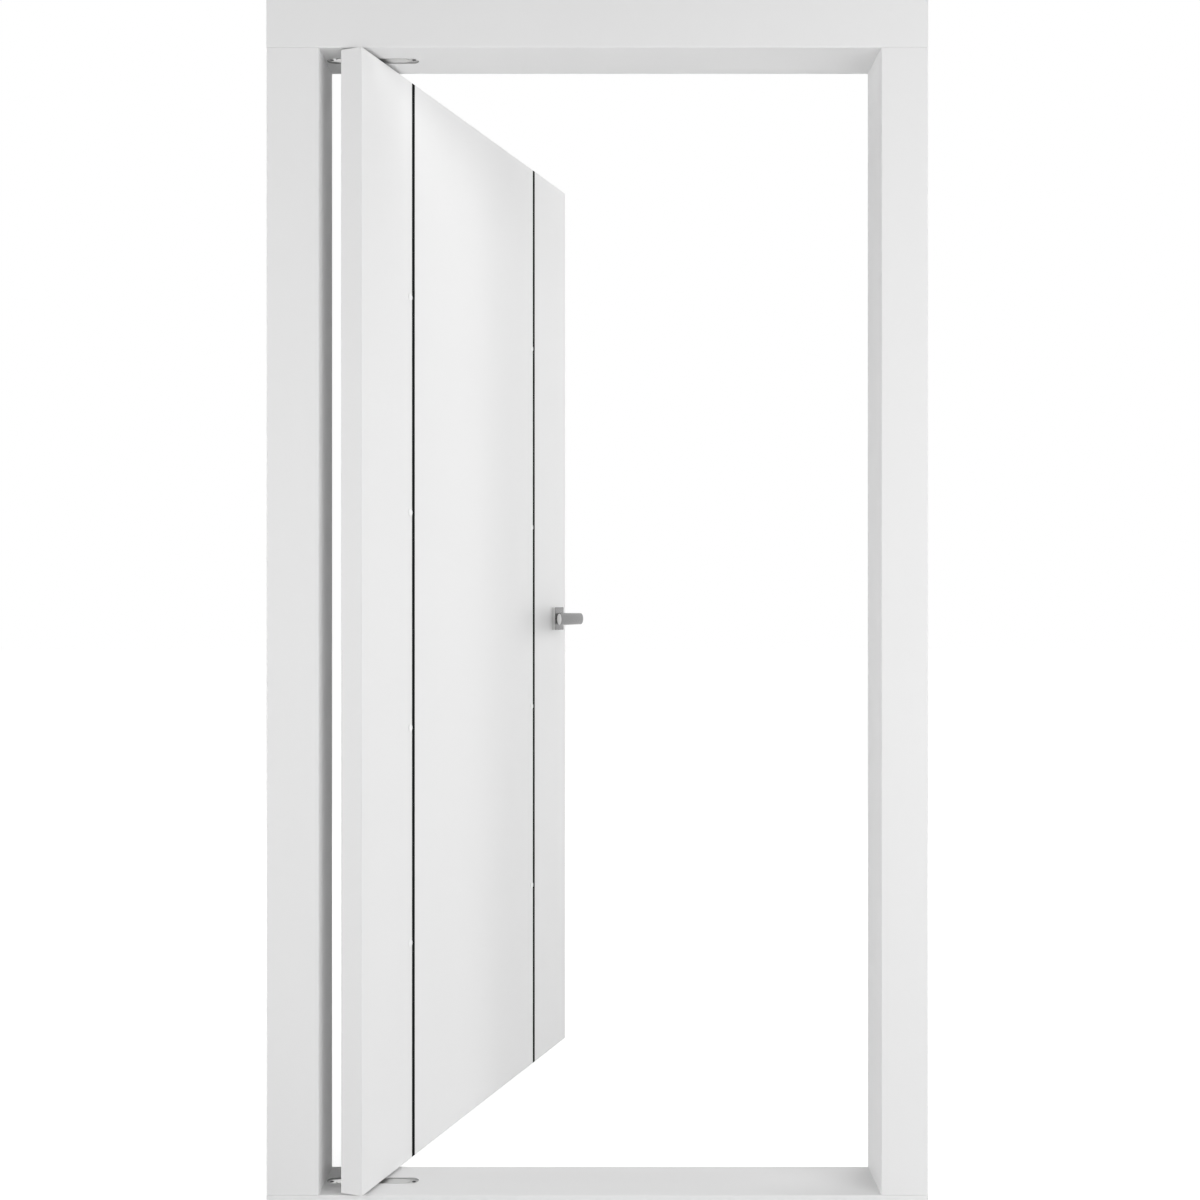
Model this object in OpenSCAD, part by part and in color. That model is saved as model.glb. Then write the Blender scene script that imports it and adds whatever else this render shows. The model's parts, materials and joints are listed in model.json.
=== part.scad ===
// Interior pivot door: a painted box frame and a wide painted leaf that swings both ways
// on a pin in the sill and a pin in the head. The leaf stands open at open_angle.
// Millimetres, +Z up. The origin is on the underside of the sill, midway between the
// jambs and at the middle of the frame's depth. The front of the door faces -Y.

/* [Frame] */
// Clear width between the jambs
opening_w = 1044; // [900:1:1300]
// Clear height between the sill and the head
opening_h = 2130; // [1900:1:2600]
// Depth of the frame through the wall
frame_depth = 137; // [100:1:220]
// Face width of the jamb on the pivot side
pivot_jamb_w = 97; // [60:1:140]
// Face width of the jamb on the lock side
lock_jamb_w = 87; // [60:1:140]
// Height of the head's face
head_h = 97; // [60:1:140]
// Height of the sill
sill_h = 30; // [20:1:60]
// Radius of the rounded long edges of the frame
frame_arris = 2; // [0.5:0.5:5]

/* [Leaf] */
// Thickness of the leaf
leaf_t = 44; // [40:1:54]
// Gap between the leaf and the sill
bottom_gap = 5; // [4:0.5:10]
// Gap between the leaf and the head
top_gap = 5; // [4:0.5:10]
// Gap between the closed leaf and the pivot-side jamb
pivot_gap = 7.5; // [6:0.5:12]
// Gap between the closed leaf and the lock-side jamb
lock_gap = 6; // [5:0.5:10]
// Radius of the rounded upright edges of the leaf
leaf_arris = 2; // [0.5:0.5:4]
// Angle at which the leaf stands open
open_angle = 70; // [-90:1:90]

/* [Inlay strips] */
// Distance from each upright edge of the leaf to the middle of the nearer strip
strip_inset = 206; // [150:1:260]
// Width of a strip's face
strip_w = 12; // [6:0.5:16]
// Thickness of a strip's face
strip_t = 2; // [1:0.5:4]
// Thickness of the leg behind a strip's face
strip_leg_t = 2; // [1:0.5:4]
// Depth of the leg behind a strip's face
strip_leg_h = 8; // [4:0.5:12]

/* [Fixing caps] */
// Caps beside each strip, evenly spaced over the leaf's height
cap_count = 4; // [2:1:6]
// Diameter of a cap
cap_d = 14; // [9:0.5:18]
// Height of a cap's rim above the leaf
cap_rim_h = 1.3; // [0.5:0.1:2]
// Rise of the shallow dome inside the rim
cap_rise = 0.5; // [0.2:0.1:1.5]
// Space between a cap and its strip
cap_gap = 0.5; // [0.3:0.1:4]
// Diameter of the stem behind a cap
cap_stem_d = 7; // [4:0.5:7.5]
// Length of the stem behind a cap
cap_stem_l = 7; // [4:0.5:10]

/* [Pivot] */
// Distance from the pivot-side jamb to the pivot's axis
pivot_from_jamb = 90; // [89:1:110]
// Length of the plates in the sill and the head
plate_l = 174; // [168:1:176]
// Width of the plates in the sill and the head
plate_w = 27; // [24:1:34]
// Thickness of the plates
plate_t = 3; // [2:0.5:5]
// Depth of the plates' faces below the frame's face
plate_recess = 2; // [1:0.5:4]
// Distance from each end of a plate to its screw
plate_screw_inset = 9; // [7:0.5:10]
// Length of the cover on each plate
cover_l = 140; // [120:1:144]
// Width of the cover on each plate
cover_w = 20; // [18:1:23]
// Thickness of the cover on each plate
cover_t = 1; // [0.6:0.2:2]
// Diameter of the pivot pins
pin_d = 16; // [12:1:16]
// Length of each pin inside the leaf
pin_reach = 24; // [15:1:28]
// Diameter of the thrust washer under the leaf
washer_d = 22; // [19:1:24]
// Length of the pivot cases let into the leaf
case_l = 112; // [90:1:130]
// Width of the pivot cases
case_w = 26; // [22:1:30]
// Height of the pivot cases
case_h = 36; // [32:1:60]
// Length of the flange on each pivot case
flange_l = 148; // [135:1:160]
// Thickness of the flange on each pivot case
flange_t = 3; // [2.5:0.5:5]
// Distance from each end of a flange to its screw
flange_screw_inset = 9; // [7:0.5:12]

/* [Screw seats] */
// Diameter of a screw's conical seat at the face that it is sunk in
seat_d = 8.4; // [6:0.2:9]
// Diameter of the seat at its foot
seat_foot_d = 4.2; // [3:0.2:5]
// Depth of the seat
seat_h = 2.1; // [1.5:0.1:2.3]

/* [Handle] */
// Distance from the leaf's free edge to the spindle
handle_inset = 63; // [55:1:90]
// Height of the spindle above the leaf's underside
handle_h = 1054; // [900:1:1200]
// Width and height of the square roses
rose_w = 56; // [48:1:70]
// Thickness of the roses
rose_t = 9.5; // [6:0.5:12]
// Radius of the roses' corners
rose_r = 2.5; // [1:0.5:6]
// Width of the chamfer round the roses' faces
rose_edge = 0.8; // [0.2:0.1:1.5]
// Length of the lever from the spindle's axis to its tip
lever_l = 150; // [110:1:160]
// Distance from the leaf's face to the lever's outer face
lever_reach = 74.5; // [60:0.5:90]
// Thickness of the lever's oval section
lever_t = 12.5; // [9:0.5:16]
// Height of the lever's oval section
lever_h = 27.5; // [20:0.5:34]
// Radius of the bend's middle line
bend_r = 10; // [9:1:24]
// Diameter of the lever's round root in the rose
root_d = 20; // [16:1:24]
// Diameter of the collar between the lever and the rose
collar_d = 25; // [22:1:36]
// Height of the collar
collar_h = 2; // [1:0.5:6]
// Size of the square spindle
spindle_w = 8; // [6:0.5:9]
// Diameter of the hole through the leaf for the spindle
spindle_bore_d = 18; // [14:1:24]
// Length of the spindle inside each lever
spindle_reach = 28; // [18:1:32]

/* [Latch] */
// Length of the latch's forend
forend_l = 160; // [120:1:240]
// Width of the latch's forend
forend_w = 20; // [16:1:28]
// Thickness of the latch's forend
forend_t = 3; // [2.5:0.5:4]
// Distance from each end of the forend to its screw
forend_screw_inset = 10; // [7:0.5:20]
// Thickness of the flush latch bolt
bolt_w = 12; // [8:1:14]
// Height of the flush latch bolt
bolt_h = 28; // [20:1:36]
// Depth of the flush latch bolt in the leaf
bolt_l = 22; // [15:1:30]

/* [Hidden] */
$fn = 64;

// Clearances: let-in pieces in their pockets, shafts that turn, faces that slide
seat_gap = 0.2;
shaft_gap = 0.05;
running_gap = 0.3;
// How far a cutting shape runs past the face that it cuts
over = 1;
// Sides of the oval section of the lever
oval_sides = 40;

frame_w = pivot_jamb_w + opening_w + lock_jamb_w;
frame_x0 = -opening_w / 2 - pivot_jamb_w;
head_z = sill_h + opening_h;
pivot_x = -opening_w / 2 + pivot_from_jamb;

// The leaf has its own frame: u from the pivot's axis to the free edge, v through its
// thickness with the front at -leaf_t / 2, and z up from its underside
leaf_w = opening_w - pivot_gap - lock_gap;
leaf_h = opening_h - bottom_gap - top_gap;
leaf_z = sill_h + bottom_gap;
leaf_u0 = pivot_gap - pivot_from_jamb;
leaf_u1 = leaf_u0 + leaf_w;
pivot_strip_u = leaf_u0 + strip_inset;
lock_strip_u = leaf_u1 - strip_inset;
handle_u = leaf_u1 - handle_inset;

plate_drop = plate_recess + plate_t;
cover_rise = cover_t - plate_recess;
pin_foot = plate_recess;
lever_axis_h = lever_reach - lever_t / 2;
lever_foot = rose_t + running_gap;
spindle_hole = spindle_w + 2 * shaft_gap;
spindle_l = leaf_t + 2 * spindle_reach;

PAINT = "#e9e9e9";
BLACK = "#141414";
STEEL = "#c3c4c4";
SATIN = "#9a9b9b";

// A rectangle in the first quadrant with rounded corners
module round_rect(w, d, r) {
    translate([r, 0]) square([w - 2 * r, d]);
    translate([0, r]) square([w, d - 2 * r]);
    for (x = [r, w - r], y = [r, d - r]) translate([x, y]) circle(r);
}

// A bar outline with half-round ends, centred
module round_ended(l, w) {
    square([l - w, w], center = true);
    for (side = [-1, 1]) translate([side * (l - w) / 2, 0]) circle(d = w);
}

// The oval section of the lever, lever_t across and lever_h high
module oval() {
    polygon([for (i = [0 : oval_sides - 1])
        [lever_t / 2 * cos(360 * i / oval_sides), lever_h / 2 * sin(360 * i / oval_sides)]]);
}

// Puts what is drawn in the leaf's own frame where the open leaf stands
module on_leaf() {
    translate([pivot_x, 0, leaf_z]) rotate([0, 0, open_angle]) children();
}

// Turns what is drawn about the middle of the opening's height, from sill to head
module at_head() {
    translate([0, 0, sill_h + head_z]) mirror([0, 0, 1]) children();
}

// Jambs: upright members between the sill and the head
module jamb(x, w) {
    color(PAINT) translate([x, -frame_depth / 2, sill_h])
        linear_extrude(opening_h) round_rect(w, frame_depth, frame_arris);
}

module pivot_jamb() jamb(frame_x0, pivot_jamb_w);

module lock_jamb() jamb(opening_w / 2, lock_jamb_w);

// Head and sill: they run over the whole width, each with a pocket for its plate
module rail(z, h) {
    translate([frame_x0, -frame_depth / 2, z]) rotate([90, 0, 90])
        linear_extrude(frame_w) round_rect(frame_depth, h, frame_arris);
}

module plate_pocket() {
    translate([pivot_x, 0, sill_h - plate_drop]) linear_extrude(plate_drop + over)
        round_ended(plate_l + 2 * seat_gap, plate_w + 2 * seat_gap);
}

module frame_sill() {
    color(PAINT) difference() {
        rail(0, sill_h);
        plate_pocket();
    }
}

module frame_head() {
    color(PAINT) difference() {
        rail(head_z, head_h);
        at_head() plate_pocket();
    }
}

// Two conical screw seats, sunk in a face at z = 0, the given distance apart along X
module screw_seats(distance) {
    for (x = [-distance / 2, distance / 2]) translate([x, 0, -seat_h])
        cylinder(d1 = seat_foot_d, d2 = seat_d, h = seat_h);
}

// Pivot plate with half-round ends, let into the frame below its face
module plate() {
    translate([pivot_x, 0, sill_h - plate_recess]) difference() {
        translate([0, 0, -plate_t]) linear_extrude(plate_t) round_ended(plate_l, plate_w);
        screw_seats(plate_l - 2 * plate_screw_inset);
    }
}

// Cover on the plate, below the frame's face, with a hole that the pin stands in
module plate_cover() {
    translate([pivot_x, 0, sill_h - plate_recess]) difference() {
        linear_extrude(cover_t) round_ended(cover_l, cover_w);
        translate([0, 0, -over]) cylinder(d = pin_d + 2 * shaft_gap, h = cover_t + 2 * over);
    }
}

// Pivot pin, from the plate's face into the leaf
module pin(gap) {
    translate([pivot_x, 0, sill_h - pin_foot]) cylinder(d = pin_d, h = pin_foot + gap + pin_reach);
}

module sill_plate() color(STEEL) plate();

module sill_plate_cover() color(STEEL) plate_cover();

module bottom_pivot_pin() color(STEEL) pin(bottom_gap);

module head_plate() color(STEEL) at_head() plate();

module head_plate_cover() color(STEEL) at_head() plate_cover();

module top_pivot_pin() color(STEEL) at_head() pin(top_gap);

// Thrust washer: lies on the cover round the pin and carries the leaf
module thrust_washer() {
    color(BLACK) translate([pivot_x, 0, sill_h + cover_rise]) difference() {
        cylinder(d = washer_d, h = bottom_gap - cover_rise - running_gap);
        translate([0, 0, -over]) cylinder(d = pin_d + 2 * seat_gap, h = bottom_gap + 2 * over);
    }
}

// Outline of a pivot case, a flange and the body above it, wider by gap all round and
// longer below by more
module case_shape(gap, more) {
    translate([0, 0, -more]) {
        linear_extrude(flange_t + more) round_ended(flange_l + 2 * gap, case_w + 2 * gap);
        translate([-case_l / 2 - gap, -case_w / 2 - gap, 0])
            cube([case_l + 2 * gap, case_w + 2 * gap, case_h + more]);
    }
}

// Pivot case: its flange lies flush with the leaf's underside and it has the pin's bore
module pivot_case() {
    difference() {
        case_shape(0, 0);
        translate([0, 0, -over]) cylinder(d = pin_d + 2 * shaft_gap, h = pin_reach + 2 * over);
        mirror([0, 0, 1]) screw_seats(flange_l - 2 * flange_screw_inset);
    }
}

// The same in the leaf's top edge
module leaf_top() {
    translate([0, 0, leaf_h]) mirror([0, 0, 1]) children();
}

module bottom_pivot_case() color(STEEL) on_leaf() pivot_case();

module top_pivot_case() color(STEEL) on_leaf() leaf_top() pivot_case();

// Section of one inlay strip: a face and a leg, with its face at v = 0
module strip_section() {
    translate([-strip_w / 2, 0]) square([strip_w, strip_t]);
    translate([-strip_leg_t / 2, 0]) square([strip_leg_t, strip_t + strip_leg_h]);
}

// Places a flat section that starts on a face of the leaf: side -1 is the front
module on_face(u, side) {
    translate([u, side * leaf_t / 2]) mirror([0, side > 0 ? 1 : 0]) children();
}

module strip(u, side) {
    color(BLACK) on_leaf() linear_extrude(leaf_h) on_face(u, side) strip_section();
}

module pivot_strip_front() strip(pivot_strip_u, -1);

module pivot_strip_back() strip(pivot_strip_u, 1);

module lock_strip_front() strip(lock_strip_u, -1);

module lock_strip_back() strip(lock_strip_u, 1);

// Middle of the caps beside the strip at u, and the heights that they stand at
function cap_u(u) = u - strip_w / 2 - cap_gap - cap_d / 2;

cap_heights = [for (i = [1 : cap_count]) leaf_h * i / (cap_count + 1)];
// Radius of the sphere that the dome is cut from
dome_r = (pow(cap_d / 2, 2) + pow(cap_rise, 2)) / (2 * cap_rise);

// Draws its children once at each cap of one face, with +Z out of the leaf
module at_caps(u, side) {
    for (z = cap_heights)
        translate([cap_u(u), side * leaf_t / 2, z]) rotate([-90 * side, 0, 0]) children();
}

// Flat disc with a slightly domed face and a stem behind it
module cap() {
    intersection() {
        translate([0, 0, cap_rim_h + cap_rise - dome_r]) sphere(dome_r);
        cylinder(d = cap_d, h = cap_rim_h + cap_rise);
    }
    translate([0, 0, -cap_stem_l]) cylinder(d = cap_stem_d, h = cap_stem_l);
}

module cap_bore() {
    translate([0, 0, -cap_stem_l - over])
        cylinder(d = cap_stem_d + 2 * seat_gap, h = cap_stem_l + 2 * over);
}

module pivot_caps_front() color(PAINT) on_leaf() at_caps(pivot_strip_u, -1) cap();

module pivot_caps_back() color(PAINT) on_leaf() at_caps(pivot_strip_u, 1) cap();

module lock_caps_front() color(PAINT) on_leaf() at_caps(lock_strip_u, -1) cap();

module lock_caps_back() color(PAINT) on_leaf() at_caps(lock_strip_u, 1) cap();

// One board of the leaf, from u0 to u1, cut back for the strips that it holds
module board(u0, u1) {
    linear_extrude(leaf_h) difference() {
        intersection() {
            translate([leaf_u0, -leaf_t / 2]) round_rect(leaf_w, leaf_t, leaf_arris);
            translate([u0, -leaf_t]) square([u1 - u0, 2 * leaf_t]);
        }
        for (u = [pivot_strip_u, lock_strip_u], side = [-1, 1]) on_face(u, side) strip_section();
    }
}

module pivot_panel() {
    color(PAINT) on_leaf() difference() {
        board(leaf_u0, pivot_strip_u);
        case_shape(seat_gap, over);
        leaf_top() case_shape(seat_gap, over);
        for (side = [-1, 1]) at_caps(pivot_strip_u, side) cap_bore();
    }
}

module centre_panel() {
    color(PAINT) on_leaf() difference() {
        board(pivot_strip_u, lock_strip_u);
        for (side = [-1, 1]) at_caps(lock_strip_u, side) cap_bore();
    }
}

module lock_panel() {
    color(PAINT) on_leaf() difference() {
        board(lock_strip_u, leaf_u1);
        translate([handle_u, 0, handle_h]) rotate([90, 0, 0])
            cylinder(d = spindle_bore_d, h = leaf_t + 2 * over, center = true);
        translate([leaf_u1 - forend_t, 0, handle_h]) forend_shape(forend_t + over, seat_gap);
        bolt_block(seat_gap);
    }
}

// Latch in the free edge: a forend with half-round ends and a bolt that lies flush in it
module forend_shape(t, gap) {
    rotate([0, 90, 0]) linear_extrude(t) round_ended(forend_l + 2 * gap, forend_w + 2 * gap);
}

module bolt_block(gap) {
    translate([leaf_u1 - bolt_l, -bolt_w / 2 - gap, handle_h - bolt_h / 2 - gap])
        cube([bolt_l + (gap > 0 ? over : 0), bolt_w + 2 * gap, bolt_h + 2 * gap]);
}

module latch_forend() {
    color(SATIN) on_leaf() difference() {
        translate([leaf_u1 - forend_t, 0, handle_h]) forend_shape(forend_t, 0);
        bolt_block(seat_gap);
        translate([leaf_u1, 0, handle_h]) rotate([0, 90, 0])
            screw_seats(forend_l - 2 * forend_screw_inset);
    }
}

module latch_bolt() color(SATIN) on_leaf() bolt_block(0);

// Puts what is drawn on a face of the leaf at the spindle: +Z out of the leaf, +Y up
module at_spindle(side) {
    translate([handle_u, side * leaf_t / 2, handle_h])
        mirror([0, side > 0 ? 1 : 0, 0]) rotate([90, 0, 0]) children();
}

// Square rose with a chamfered face and the bore that the lever's root turns in
module rose() {
    difference() {
        translate([-rose_w / 2, -rose_w / 2, 0])
            linear_extrude(rose_t) round_rect(rose_w, rose_w, rose_r);
        translate([0, 0, -over]) cylinder(d = root_d + 2 * shaft_gap, h = rose_t + 2 * over);
        for (turn = [0 : 90 : 270]) rotate([0, 0, turn])
            translate([rose_w / 2, -rose_w / 2 - over, rose_t - rose_edge])
                rotate([0, -45, 0]) cube([2 * over, rose_w + 2 * over, 2 * rose_edge]);
    }
}

module front_rose() color(SATIN) on_leaf() at_spindle(-1) rose();

module back_rose() color(SATIN) on_leaf() at_spindle(1) rose();

// Lever: a round root and collar, then an oval bar that stands out, bends and runs to the tip
module lever() {
    difference() {
        union() {
            translate([0, 0, running_gap]) cylinder(d = root_d, h = rose_t);
            translate([0, 0, lever_foot]) cylinder(d = collar_d, h = collar_h);
            translate([0, 0, lever_foot]) linear_extrude(lever_axis_h - bend_r - lever_foot) oval();
            translate([-bend_r, 0, lever_axis_h - bend_r]) rotate([90, 0, 0])
                rotate_extrude(angle = 90) translate([bend_r, 0]) oval();
            translate([-bend_r, 0, lever_axis_h]) rotate([0, -90, 0])
                linear_extrude(lever_l - bend_r) oval();
        }
        translate([-spindle_hole / 2, -spindle_hole / 2, -over])
            cube([spindle_hole, spindle_hole, spindle_reach + over]);
    }
}

module front_lever() color(SATIN) on_leaf() at_spindle(-1) lever();

module back_lever() color(SATIN) on_leaf() at_spindle(1) lever();

// Square spindle through the leaf, held in both levers
module spindle() {
    color(STEEL) on_leaf() translate([handle_u, 0, handle_h])
        cube([spindle_w, spindle_l, spindle_w], center = true);
}

pivot_jamb();
lock_jamb();
frame_head();
frame_sill();
sill_plate();
sill_plate_cover();
bottom_pivot_pin();
thrust_washer();
head_plate();
head_plate_cover();
top_pivot_pin();
pivot_panel();
centre_panel();
lock_panel();
pivot_strip_front();
pivot_strip_back();
lock_strip_front();
lock_strip_back();
pivot_caps_front();
pivot_caps_back();
lock_caps_front();
lock_caps_back();
bottom_pivot_case();
top_pivot_case();
latch_forend();
latch_bolt();
front_rose();
back_rose();
front_lever();
back_lever();
spindle();
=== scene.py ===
"""Interior pivot door: a lacquered box frame and a wide leaf that swings both ways on two pins.

Metres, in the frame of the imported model. The leaf stands 70 degrees open.
"""
import json
import math

import bmesh
import bpy
from mathutils import Matrix, Vector


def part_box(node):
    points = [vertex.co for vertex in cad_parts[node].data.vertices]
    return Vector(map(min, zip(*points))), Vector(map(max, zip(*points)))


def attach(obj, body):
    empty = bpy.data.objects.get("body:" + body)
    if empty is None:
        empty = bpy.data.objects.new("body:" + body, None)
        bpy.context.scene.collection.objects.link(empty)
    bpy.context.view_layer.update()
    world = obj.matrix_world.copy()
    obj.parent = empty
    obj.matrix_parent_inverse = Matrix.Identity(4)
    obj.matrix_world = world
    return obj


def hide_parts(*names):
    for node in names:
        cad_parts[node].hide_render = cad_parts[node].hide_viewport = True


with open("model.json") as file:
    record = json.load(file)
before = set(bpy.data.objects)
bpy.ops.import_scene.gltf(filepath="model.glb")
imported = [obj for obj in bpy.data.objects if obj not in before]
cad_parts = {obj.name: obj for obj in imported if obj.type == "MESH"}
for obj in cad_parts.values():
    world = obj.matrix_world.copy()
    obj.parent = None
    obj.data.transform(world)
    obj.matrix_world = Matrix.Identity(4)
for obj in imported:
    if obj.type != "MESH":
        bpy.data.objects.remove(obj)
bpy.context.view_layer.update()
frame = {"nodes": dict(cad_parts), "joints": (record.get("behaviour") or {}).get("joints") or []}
nodes = frame["nodes"]

MM = 0.001


# Box frame: jambs, head and sill of finger-jointed timber, square cut and screwed together.
# Sprayed with matt white lacquer over eased edges: a near flat colour, wide soft highlights and
# a faint ripple where the wet lacquer drew together, called orange peel.
def rgb(code):
    """Turns an sRGB hex colour into Blender's linear one."""
    parts = [int(code[i:i + 2], 16) / 255 for i in (1, 3, 5)]
    linear = [c / 12.92 if c <= 0.04045 else ((c + 0.055) / 1.055) ** 2.4 for c in parts]
    return (*linear, 1.0)


def add(tree, kind, inputs=None, **settings):
    """Adds a node. Settings are the node's own, inputs are values or links by socket."""
    node = tree.nodes.new(kind)
    for name, value in settings.items():
        setattr(node, name, value)
    for socket, value in (inputs or {}).items():
        if isinstance(value, bpy.types.NodeSocket):
            tree.links.new(value, node.inputs[socket])
        else:
            node.inputs[socket].default_value = value
    return node


def new_material(name):
    """Returns an empty material, its node tree and the object coordinates in it."""
    material = bpy.data.materials.new(name)
    material.use_nodes = True
    tree = material.node_tree
    tree.nodes.clear()
    place = add(tree, "ShaderNodeTexCoord").outputs["Object"]
    return material, tree, place


PEEL = 5 * MM  # real orange peel is 1 to 2 mm across, drawn coarser so that it shows
EASED = 1.5 * MM  # radius that the edges are sanded to before they are sprayed
CLOUD = 0.35  # slow drift of tone where one pass of the spray gun meets the next
POCKET_SHADE_GREY = "#B4B4B4"  # painted shade: a grey for the shade in the plates' pockets, on their walls and floors
POCKET_MARGIN = 1 * MM
FACE_SKIN = 0.05 * MM  # how far below the frame's face the painted pocket shade begins


def inside_box(tree, place, low, high):
    """1 inside the box between two corners and 0 outside it."""
    middle = [(a + b) / 2 for a, b in zip(low, high)]
    half = [(b - a) / 2 for a, b in zip(low, high)]
    local = add(tree, "ShaderNodeMapping", {
        "Vector": place, "Location": middle, "Scale": half}, vector_type="TEXTURE")
    size = add(tree, "ShaderNodeVectorMath", {0: local.outputs["Vector"]}, operation="ABSOLUTE")
    across = add(tree, "ShaderNodeSeparateXYZ", {"Vector": size.outputs["Vector"]}).outputs
    wider = add(tree, "ShaderNodeMath", {0: across["X"], 1: across["Y"]}, operation="MAXIMUM")
    widest = add(tree, "ShaderNodeMath", {0: wider.outputs["Value"], 1: across["Z"]},
                 operation="MAXIMUM")
    return add(tree, "ShaderNodeMath", {0: widest.outputs["Value"], 1: 1.0},
               operation="LESS_THAN").outputs["Value"]


def sprayed_lacquer(name, light, dark, gloss, painted_shade_boxes=()):
    """White lacquer, with painted shade: a flat grey inside the given boxes round the plates'
    pockets.
    """
    material, tree, place = new_material(name)
    cloud = add(tree, "ShaderNodeTexNoise", {"Vector": place, "Scale": 1 / CLOUD, "Detail": 2.0})
    coat = add(tree, "ShaderNodeMix", {
        "Factor": cloud.outputs["Fac"], "A": rgb(dark), "B": rgb(light)}, data_type="RGBA")
    tone = coat.outputs["Result"]
    # Painted shade: inside each given box the lacquer turns a flat grey that stands for the
    # shade in the recess.
    for low, high in painted_shade_boxes:
        pocket_shaded = add(tree, "ShaderNodeMix", {
            "Factor": inside_box(tree, place, low, high), "A": tone, "B": rgb(POCKET_SHADE_GREY)},
            data_type="RGBA")
        tone = pocket_shaded.outputs["Result"]
    peel = add(tree, "ShaderNodeTexNoise", {"Vector": place, "Scale": 1 / PEEL, "Detail": 1.0})
    sheen = add(tree, "ShaderNodeMapRange", {
        "Value": cloud.outputs["Fac"], "To Min": gloss - 0.03, "To Max": gloss + 0.03})
    ripple = add(tree, "ShaderNodeBump", {
        "Strength": 0.35, "Distance": 0.03 * MM, "Height": peel.outputs["Fac"],
        "Normal": add(tree, "ShaderNodeBevel", {"Radius": EASED}, samples=6).outputs["Normal"]})
    shader = add(tree, "ShaderNodeBsdfPrincipled", {
        "Base Color": tone, "Roughness": sheen.outputs["Result"],
        "Normal": ripple.outputs["Normal"], "IOR": 1.5, "Specular IOR Level": 0.3})
    add(tree, "ShaderNodeOutputMaterial", {"Surface": shader.outputs["BSDF"]})
    return material


def finish_nodes(names, material):
    for name in names:
        nodes[name].data.materials.clear()
        nodes[name].data.materials.append(material)


def pocket(plate, face_z):
    """Box round the pocket of a pivot plate, from its floor to just inside the face, where the
    painted shade goes.
    """
    low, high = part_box(plate)
    margin = Vector((POCKET_MARGIN, POCKET_MARGIN, POCKET_MARGIN))
    low, high = low - margin, high + margin
    if face_z > high.z:
        high.z = face_z - FACE_SKIN
    else:
        low.z = face_z + FACE_SKIN
    return low, high


sill_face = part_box("frame_sill")[1].z
head_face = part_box("frame_head")[0].z
# The pockets of the pivot plates get painted shade, a grey for the shade in these recesses.
frame_lacquer = sprayed_lacquer(
    "matt white lacquer on timber", "#ECECEC", "#E9E9E9", 0.6,
    painted_shade_boxes=[pocket("sill_plate", sill_face), pocket("head_plate", head_face)])
finish_nodes(["pivot_jamb", "lock_jamb", "frame_head", "frame_sill"], frame_lacquer)


# Leaf: three boards with thin MDF facings over a timber frame and a light core, lacquered
# like the box frame but from a later batch, a shade lighter.
leaf_lacquer = sprayed_lacquer("matt white lacquer on MDF", "#EBEBEB", "#E8E8E8", 0.58)
finish_nodes(["pivot_panel", "centre_panel", "lock_panel"], leaf_lacquer)


# Inlay strips: extruded aluminium, etched matt, anodised and dyed black, pressed by their
# legs into the joints between the boards. Matt black with faint draw lines along the length.
DRAW_LINE = 0.8 * MM  # spacing of the lines that the die leaves
DRAW_LENGTH = 0.4  # length over which such a line stays the same

black_anodised, tree, place = new_material("black anodised aluminium, etched matt")
drawn = add(tree, "ShaderNodeMapping", {
    "Vector": place, "Scale": (DRAW_LINE, DRAW_LINE, DRAW_LENGTH)}, vector_type="TEXTURE")
lines = add(tree, "ShaderNodeTexNoise", {"Vector": drawn.outputs["Vector"], "Scale": 1.0})
sheen = add(tree, "ShaderNodeMapRange", {
    "Value": lines.outputs["Fac"], "To Min": 0.55, "To Max": 0.7})
relief = add(tree, "ShaderNodeBump", {
    "Strength": 0.3, "Distance": 0.02 * MM, "Height": lines.outputs["Fac"]})
shader = add(tree, "ShaderNodeBsdfPrincipled", {
    "Base Color": rgb("#0E0E0F"), "Roughness": sheen.outputs["Result"],
    "Specular IOR Level": 0.02, "Normal": relief.outputs["Normal"]})
add(tree, "ShaderNodeOutputMaterial", {"Surface": shader.outputs["BSDF"]})
finish_nodes(["pivot_strip_front", "pivot_strip_back", "lock_strip_front", "lock_strip_back"],
             black_anodised)


# Fixing caps: ABS mouldings, a shallow dome on a stem, pushed into bores beside the strips.
# Self-coloured white, a little glossier than the lacquer, with a fine mould grain.
GRAIN = 1.2 * MM

white_abs, tree, place = new_material("white ABS, moulded")
spark = add(tree, "ShaderNodeTexNoise", {"Vector": place, "Scale": 1 / GRAIN, "Detail": 2.0})
sheen = add(tree, "ShaderNodeMapRange", {
    "Value": spark.outputs["Fac"], "To Min": 0.36, "To Max": 0.44})
relief = add(tree, "ShaderNodeBump", {
    "Strength": 0.2, "Distance": 0.02 * MM, "Height": spark.outputs["Fac"]})
shader = add(tree, "ShaderNodeBsdfPrincipled", {
    "Base Color": rgb("#F2F2F2"), "Roughness": sheen.outputs["Result"], "IOR": 1.54,
    "Normal": relief.outputs["Normal"]})
add(tree, "ShaderNodeOutputMaterial", {"Surface": shader.outputs["BSDF"]})
finish_nodes(["pivot_caps_front", "pivot_caps_back", "lock_caps_front", "lock_caps_back"],
             white_abs)


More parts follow.
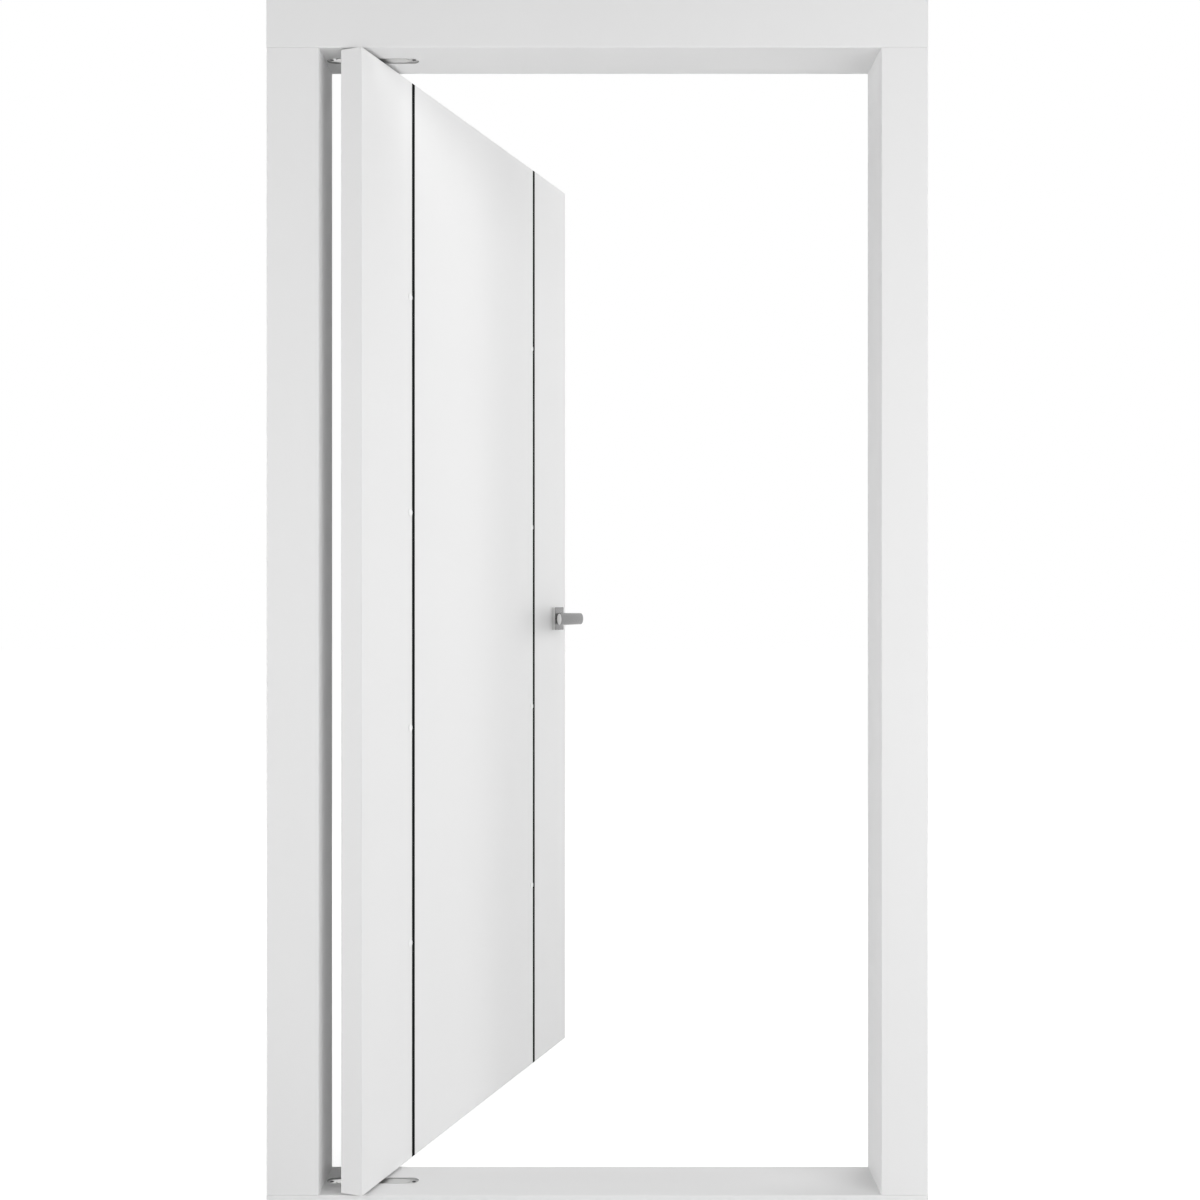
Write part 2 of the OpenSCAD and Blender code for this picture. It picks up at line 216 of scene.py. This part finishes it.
# Pivot hardware: stainless steel plates and covers in the sill and the head, ground pins,
# zinc alloy cases in the leaf and a turned acetal washer. The plates are linished along
# their length and polished, so they mirror what is near them.
def linished_metal(name, colour, rough, grit, relief_depth, turn=0.0):
    """A metal with fine lines along X after it is turned back about Z by turn."""
    material, tree, place = new_material(name)
    line = add(tree, "ShaderNodeMapping", {
        "Vector": place, "Rotation": (0.0, 0.0, turn), "Scale": (80 * grit, grit, grit)},
        vector_type="TEXTURE")
    lines = add(tree, "ShaderNodeTexNoise", {
        "Vector": line.outputs["Vector"], "Scale": 1.0, "Detail": 3.0})
    smudge = add(tree, "ShaderNodeTexNoise", {"Vector": place, "Scale": 1 / (30 * MM)})
    both = add(tree, "ShaderNodeMath", {
        0: lines.outputs["Fac"], 1: smudge.outputs["Fac"]}, operation="MULTIPLY")
    sheen = add(tree, "ShaderNodeMapRange", {
        "Value": both.outputs["Value"], "From Max": 0.5,
        "To Min": rough * 0.8, "To Max": rough * 1.2})
    relief = add(tree, "ShaderNodeBump", {
        "Strength": 0.4, "Distance": relief_depth, "Height": lines.outputs["Fac"]})
    shader = add(tree, "ShaderNodeBsdfPrincipled", {
        "Base Color": rgb(colour), "Metallic": 1.0, "Roughness": sheen.outputs["Result"],
        "Normal": relief.outputs["Normal"]})
    add(tree, "ShaderNodeOutputMaterial", {"Surface": shader.outputs["BSDF"]})
    return material


polished_steel = linished_metal(
    "stainless steel, polished", "#D8D8D7", 0.3, 0.5 * MM, 0.004 * MM)
linished_steel = linished_metal(
    "stainless steel, linished", "#D8D8D7", 0.38, 0.5 * MM, 0.006 * MM)
ground_steel = linished_metal("bearing steel, ground", "#B4B4B3", 0.2, 0.4 * MM, 0.004 * MM)
zinc_alloy = linished_metal("zinc alloy, bead blasted", "#9C9D9E", 0.42, 0.7 * MM, 0.02 * MM)
finish_nodes(["sill_plate", "head_plate"], polished_steel)
finish_nodes(["sill_plate_cover", "head_plate_cover"], linished_steel)
finish_nodes(["bottom_pivot_pin", "top_pivot_pin", "spindle"], ground_steel)
finish_nodes(["bottom_pivot_case", "top_pivot_case"], zinc_alloy)

black_acetal, tree, place = new_material("black acetal, turned")
rings = add(tree, "ShaderNodeTexNoise", {"Vector": place, "Scale": 1 / (1.5 * MM)})
sheen = add(tree, "ShaderNodeMapRange", {
    "Value": rings.outputs["Fac"], "To Min": 0.4, "To Max": 0.55})
shader = add(tree, "ShaderNodeBsdfPrincipled", {
    "Base Color": rgb("#161617"), "Roughness": sheen.outputs["Result"], "IOR": 1.48})
add(tree, "ShaderNodeOutputMaterial", {"Surface": shader.outputs["BSDF"]})
finish_nodes(["thrust_washer"], black_acetal)


# Screws of the plates, the cases and the forend: countersunk steel screws with a hex socket,
# blackened, two in each piece. Their heads lie in conical seats, a hair below the face.
SCREW_D = 8.0 * MM
SCREW_FOOT_D = 4.1 * MM
SCREW_SUNK = 0.1 * MM
SOCKET_FLATS = 4.0 * MM
SOCKET_DEPTH = 1.4 * MM
SCREW_SIDES = 36
PLATE_SCREW_INSET = 9 * MM
FOREND_SCREW_INSET = 10 * MM

lever_joint = next(j for j in frame["joints"] if j["name"] == "lever_turn")
RIGHT = Vector((1, 0, 0))
UP = Vector((0, 0, 1))
OUT = Vector(lever_joint["axis"]).normalized()
ALONG = UP.cross(OUT)

blackened_steel, tree, place = new_material("steel, blackened")
haze = add(tree, "ShaderNodeTexNoise", {"Vector": place, "Scale": 1 / (2 * MM)})
sheen = add(tree, "ShaderNodeMapRange", {
    "Value": haze.outputs["Fac"], "To Min": 0.3, "To Max": 0.45})
shader = add(tree, "ShaderNodeBsdfPrincipled", {
    "Base Color": rgb("#646465"), "Metallic": 1.0, "Roughness": sheen.outputs["Result"]})
add(tree, "ShaderNodeOutputMaterial", {"Surface": shader.outputs["BSDF"]})


def reach(node, direction):
    """Lowest and highest place of a node's corners along a direction."""
    along = [direction.dot(v.co) for v in nodes[node].data.vertices]
    return min(along), max(along)


def new_piece(bm, name, material, body, stands_for=()):
    """Closes a mesh into a finished piece that rides on a body."""
    bmesh.ops.remove_doubles(bm, verts=bm.verts, dist=1e-6)
    bmesh.ops.recalc_face_normals(bm, faces=bm.faces)
    mesh = bpy.data.meshes.new(name)
    bm.to_mesh(mesh)
    bm.free()
    mesh.shade_smooth()
    mesh.set_sharp_from_angle(angle=math.radians(35))
    mesh.materials.append(material)
    piece = bpy.data.objects.new(name, mesh)
    bpy.context.scene.collection.objects.link(piece)
    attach(piece, body)
    if stands_for:
        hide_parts(*stands_for)
    return piece


def screw_head(bm, seat):
    """Adds a conical head with a hex socket sunk in its face, which looks along +Z."""
    start = len(bm.verts)
    height = (SCREW_D - SCREW_FOOT_D) / 2
    made = bmesh.ops.create_cone(
        bm, cap_ends=True, segments=SCREW_SIDES, radius1=SCREW_FOOT_D / 2,
        radius2=SCREW_D / 2, depth=height)["verts"]
    bmesh.ops.translate(bm, vec=(0, 0, -SCREW_SUNK - height / 2), verts=made)
    face = max(made, key=lambda v: v.co.z).link_faces
    face = max(face, key=lambda f: f.calc_center_median().z)
    bmesh.ops.inset_individual(bm, faces=[face], thickness=(SCREW_D - SOCKET_FLATS) / 2)
    for corner in face.verts:
        turn = math.atan2(corner.co.y, corner.co.x)
        from_flat = (turn + math.pi / 6) % (math.pi / 3) - math.pi / 6
        corner.co.xy *= SOCKET_FLATS / 2 / math.cos(from_flat) / corner.co.xy.length
    floor_face = bmesh.ops.extrude_discrete_faces(bm, faces=[face])["faces"][0]
    bmesh.ops.translate(bm, verts=floor_face.verts, vec=(0, 0, -SOCKET_DEPTH))
    bm.verts.ensure_lookup_table()
    bmesh.ops.transform(bm, matrix=seat, verts=bm.verts[start:])


def screw_pair(node, along, out, inset, body):
    """Two screws that face out of a node, inset from its ends along a direction."""
    low, high = reach(node, along)
    side = out.cross(along)
    level = out * reach(node, out)[1] + side * sum(reach(node, side)) / 2
    turn = Matrix((along, side, out)).transposed().to_4x4()
    bm = bmesh.new()
    for end in (low + inset, high - inset):
        screw_head(bm, Matrix.Translation(level + along * end) @ turn)
    new_piece(bm, f"{node}_screws", blackened_steel, body)


for node, along, out, inset, body, slot in (
        ("sill_plate", RIGHT, UP, PLATE_SCREW_INSET, "frame", "pivot_steel"),
        ("head_plate", RIGHT, -UP, PLATE_SCREW_INSET, "frame", "pivot_steel"),
        ("bottom_pivot_case", ALONG, -UP, PLATE_SCREW_INSET, "leaf", "pivot_steel"),
        ("top_pivot_case", ALONG, UP, PLATE_SCREW_INSET, "leaf", "pivot_steel"),
        ("latch_forend", UP, ALONG, FOREND_SCREW_INSET, "leaf", "handle_steel")):
    screw_pair(node, along, out, inset, body)


# Handle set: square roses and oval levers of die-cast zinc, plated in nickel and drawn in two
# tones. The satin nickel is darker than real nickel: painted shade for the dim room it mirrors.
# The lever's end face, its collar and the rose's rim are a bright polished nickel: painted
# highlight where these faces catch the light from the front. A square spindle joins the two
# levers through the leaf.
SEGMENTS = 64
ROSE_CORNER = 2.5 * MM
ROSE_FACE_T = 1.2 * MM
ROSE_EDGE = 0.8 * MM
LEVER_T = 12.5 * MM
BEND_R = 10 * MM
BEND_STEPS = 24
RUNNING_GAP = 0.3 * MM
COLLAR_H = 2 * MM
COLLAR_EDGE = 0.6 * MM
END_EDGE = 0.5 * MM
END_INSET = 1.1 * MM
END_PLATE_T = 1.0 * MM
END_PROUD = 0.15 * MM

LEAF_TURN = math.atan2(ALONG.y, ALONG.x)
spindle_point = Vector(lever_joint["pos_m"])

# Painted shade: a darker nickel that stands for the dim room mirrored in the satin faces.
satin_nickel_painted_shade = linished_metal(
    "satin nickel plate with painted shade", "#8A8A8A", 0.22, 0.45 * MM, 0.008 * MM, turn=LEAF_TURN)
# Painted highlight: a bright nickel on the faces that catch the front light.
bright_nickel_painted_highlight = linished_metal(
    "bright nickel plate with painted highlight", "#DADAD9", 0.12, 0.6 * MM, 0.002 * MM, turn=LEAF_TURN)
finish_nodes(["latch_forend", "latch_bolt"], satin_nickel_painted_shade)

leaf_face = reach("centre_panel", OUT)[1] - OUT.dot(spindle_point)


def rounded_edges(bm, edges, radius, steps):
    bmesh.ops.bevel(bm, geom=edges, offset=radius, offset_type="OFFSET", affect="EDGES",
                    segments=steps, profile=0.5, material=-1)


def rose_block(low, high, half):
    """A square block between two heights, with its upright corners rounded."""
    bm = bmesh.new()
    bmesh.ops.create_cube(bm, size=1.0)
    bmesh.ops.scale(bm, vec=(2 * half, 2 * half, high - low), verts=bm.verts)
    bmesh.ops.translate(bm, vec=(0, 0, (low + high) / 2), verts=bm.verts)
    upright = [e for e in bm.edges if abs(e.verts[0].co.z - e.verts[1].co.z) > 1e-6]
    rounded_edges(bm, upright, ROSE_CORNER, 6)
    return bm


def oval_ring(bm, half_x, half_y):
    ring = bmesh.ops.create_circle(bm, radius=1.0, segments=SEGMENTS)["verts"]
    bmesh.ops.scale(bm, vec=(half_x, half_y, 1.0), verts=ring)
    return ring


def drawn_out(bm, ring, move):
    """Extrudes the open edge ring by a move and gives its new corners."""
    edges = {e for v in ring for e in v.link_edges if e.other_vert(v) in ring}
    made = bmesh.ops.extrude_edge_only(bm, edges=list(edges))["geom"]
    new = [v for v in made if isinstance(v, bmesh.types.BMVert)]
    bmesh.ops.translate(bm, verts=new, vec=move)
    return new


def closed(bm, ring):
    """Fills the open edge ring with one face."""
    edges = {e for v in ring for e in v.link_edges if len(e.link_faces) < 2}
    return bmesh.ops.contextual_create(bm, geom=list(edges))["faces"][0]


for side, front in (("front", 1), ("back", -1)):
    out = OUT * front
    base = out.dot(spindle_point) + leaf_face
    seat = Matrix.Translation(spindle_point + out * leaf_face) @ Matrix((
        (ALONG.x, UP.x, out.x, 0), (ALONG.y, UP.y, out.y, 0), (ALONG.z, UP.z, out.z, 0),
        (0, 0, 0, 1)))

    rose_low, rose_high = [height - base for height in reach(f"{side}_rose", out)]
    rose_up = reach(f"{side}_rose", UP)
    rose_half = (rose_up[1] - rose_up[0]) / 2
    bm = rose_block(rose_low, rose_high - ROSE_FACE_T, rose_half)
    bmesh.ops.transform(bm, matrix=seat, verts=bm.verts)
    new_piece(bm, f"{side}_rose_rim", bright_nickel_painted_highlight, "leaf",
              [f"{side}_rose"])

    bm = rose_block(rose_high - ROSE_FACE_T, rose_high, rose_half)
    rim = [e for e in bm.edges if min(v.co.z for v in e.verts) > rose_high - 1e-6]
    rounded_edges(bm, rim, ROSE_EDGE, 4)
    bmesh.ops.transform(bm, matrix=seat, verts=bm.verts)
    new_piece(bm, f"{side}_rose_face", satin_nickel_painted_shade, "leaf")

    lever_up = reach(f"{side}_lever", UP)
    lever_along = reach(f"{side}_lever", ALONG)
    half_t = LEVER_T / 2
    half_h = (lever_up[1] - lever_up[0]) / 2
    tip = lever_along[0] - ALONG.dot(spindle_point)
    collar_r = lever_along[1] - ALONG.dot(spindle_point)
    axis_height = reach(f"{side}_lever", out)[1] - base - half_t
    foot = rose_high + RUNNING_GAP

    bm = bmesh.new()
    ring = oval_ring(bm, half_t, half_h)
    bmesh.ops.translate(bm, verts=ring, vec=(0, 0, foot))
    closed(bm, ring)
    ring = drawn_out(bm, ring, (0, 0, axis_height - BEND_R - foot))
    ring_edges = {e for v in ring for e in v.link_edges if e.other_vert(v) in ring}
    spun = bmesh.ops.spin(
        bm, geom=list(ring_edges) + ring, cent=(-BEND_R, 0, axis_height - BEND_R),
        axis=(0, -1, 0), angle=math.pi / 2, steps=BEND_STEPS, use_merge=False,
        use_duplicate=False)["geom_last"]
    ring = [v for v in spun if isinstance(v, bmesh.types.BMVert)]
    face = closed(bm, drawn_out(bm, ring, (tip + BEND_R + END_PROUD, 0, 0)))
    rounded_edges(bm, list(face.edges), END_EDGE, 4)
    bmesh.ops.transform(bm, matrix=seat, verts=bm.verts)
    new_piece(bm, f"{side}_lever_grip", satin_nickel_painted_shade, "handle",
              [f"{side}_lever"])

    bm = bmesh.new()
    ring = oval_ring(bm, half_t - END_INSET, half_h - END_INSET / 2)
    closed(bm, ring)
    bmesh.ops.rotate(bm, verts=bm.verts, matrix=Matrix.Rotation(math.pi / 2, 3, "Y"))
    bmesh.ops.translate(bm, verts=bm.verts, vec=(tip + END_PLATE_T, 0, axis_height))
    face = closed(bm, drawn_out(bm, list(bm.verts), (-END_PLATE_T, 0, 0)))
    rounded_edges(bm, list(face.edges), END_PROUD, 2)
    bmesh.ops.transform(bm, matrix=seat, verts=bm.verts)
    new_piece(bm, f"{side}_lever_end_face", bright_nickel_painted_highlight, "handle")

    bm = bmesh.new()
    ring = bmesh.ops.create_circle(bm, radius=collar_r, segments=SEGMENTS)["verts"]
    bmesh.ops.translate(bm, verts=ring, vec=(0, 0, foot))
    closed(bm, ring)
    face = closed(bm, drawn_out(bm, ring, (0, 0, COLLAR_H)))
    rounded_edges(bm, list(face.edges), COLLAR_EDGE, 4)
    bmesh.ops.transform(bm, matrix=seat, verts=bm.verts)
    new_piece(bm, f"{side}_lever_collar", bright_nickel_painted_highlight, "handle")


# Floor, light and camera: a pale floor, five soft boxes round the door and a dim white room.
# What the lens and polished metal see of room and floor is white, and the floor keeps the
# door's shadow.
ROOM_LIGHT = 0.07
FLOOR_LIFT_NEAR = 0.7
FLOOR_LIFT_FAR = 0.96
FLOOR_NEAR = 1.0
FLOOR_FAR = 4.0
FLOOR_SIZE = 60.0
FOCAL_PIXELS = 1448.5
FRAME_PIXELS = 1200
CAMERA_PLACE = (0.0, -2.7565, 1.1347)

scene = bpy.context.scene
scene.view_settings.view_transform = "Standard"


def seen_directly(tree):
    """1 for what the lens sees, straight or by way of metal or glass, and 0 for light."""
    ray = add(tree, "ShaderNodeLightPath")
    first = add(tree, "ShaderNodeMath", {
        0: ray.outputs["Is Camera Ray"], 1: ray.outputs["Is Glossy Ray"]}, operation="MAXIMUM")
    return add(tree, "ShaderNodeMath", {
        0: first.outputs["Value"], 1: ray.outputs["Is Transmission Ray"]},
        operation="MAXIMUM").outputs["Value"]


room = bpy.data.worlds.new("white room")
room.use_nodes = True
room.node_tree.nodes.clear()
level = add(room.node_tree, "ShaderNodeMapRange", {
    "Value": seen_directly(room.node_tree), "To Min": ROOM_LIGHT, "To Max": 1.0})
white = add(room.node_tree, "ShaderNodeBackground", {
    "Color": (1.0, 1.0, 1.0, 1.0), "Strength": level.outputs["Result"]})
add(room.node_tree, "ShaderNodeOutputWorld", {"Surface": white.outputs["Background"]})
scene.world = room

floor_paint = bpy.data.materials.new("pale floor")
floor_paint.use_nodes = True
tree = floor_paint.node_tree
tree.nodes.clear()
lit = add(tree, "ShaderNodeBsdfDiffuse", {"Color": rgb("#E6E6E6")})
away = add(tree, "ShaderNodeVectorMath", {
    0: add(tree, "ShaderNodeTexCoord").outputs["Object"]}, operation="LENGTH")
fade = add(tree, "ShaderNodeMapRange", {
    "Value": away.outputs["Value"], "From Min": FLOOR_NEAR, "From Max": FLOOR_FAR,
    "To Min": FLOOR_LIFT_NEAR, "To Max": FLOOR_LIFT_FAR})
lift = add(tree, "ShaderNodeMath", {0: seen_directly(tree), 1: fade.outputs["Result"]},
           operation="MULTIPLY")
glow = add(tree, "ShaderNodeEmission", {
    "Color": (1.0, 1.0, 1.0, 1.0), "Strength": lift.outputs["Value"]})
both = add(tree, "ShaderNodeAddShader", {0: lit.outputs["BSDF"], 1: glow.outputs["Emission"]})
mirrored = add(tree, "ShaderNodeEmission", {"Color": (1.0, 1.0, 1.0, 1.0), "Strength": 1.0})
shown = add(tree, "ShaderNodeMixShader", {
    0: add(tree, "ShaderNodeLightPath").outputs["Is Glossy Ray"],
    1: both.outputs["Shader"], 2: mirrored.outputs["Emission"]})
add(tree, "ShaderNodeOutputMaterial", {"Surface": shown.outputs["Shader"]})
bm = bmesh.new()
bmesh.ops.create_grid(bm, x_segments=1, y_segments=1, size=FLOOR_SIZE / 2)
floor_mesh = bpy.data.meshes.new("floor")
bm.to_mesh(floor_mesh)
bm.free()
floor_mesh.materials.append(floor_paint)
floor = bpy.data.objects.new("floor", floor_mesh)
scene.collection.objects.link(floor)


def soft_box(name, place, aim, width, height, watts):
    lamp = bpy.data.lights.new(name, "AREA")
    lamp.shape = "RECTANGLE"
    lamp.size = width
    lamp.size_y = height
    lamp.energy = watts
    holder = bpy.data.objects.new(name, lamp)
    holder.location = place
    holder.rotation_euler = (Vector(aim) - Vector(place)).to_track_quat("-Z", "Y").to_euler()
    holder.visible_camera = False
    holder.visible_glossy = False
    scene.collection.objects.link(holder)


soft_box("front right soft box", (2.4, -2.6, 1.6), (0.0, 0.2, 1.15), 3.0, 3.0, 88.0)
soft_box("back right soft box", (3.0, 2.6, 1.6), (0.0, 0.2, 1.15), 3.0, 3.0, 74.0)
soft_box("front left soft box", (-2.4, -2.6, 1.6), (0.0, 0.0, 1.15), 2.4, 3.0, 45.0)
soft_box("left soft box", (-3.4, -0.4, 1.25), (-0.2, 0.4, 1.15), 2.0, 2.2, 32.0)
soft_box("top soft box", (0.8, 0.6, 4.4), (0.1, 0.2, 1.1), 2.4, 2.4, 38.0)

lens = bpy.data.cameras.new("camera")
lens.sensor_width = 36.0
lens.lens = FOCAL_PIXELS / FRAME_PIXELS * lens.sensor_width
camera = bpy.data.objects.new("camera", lens)
camera.location = CAMERA_PLACE
camera.rotation_euler = (math.pi / 2, 0.0, 0.0)
scene.collection.objects.link(camera)
scene.camera = camera
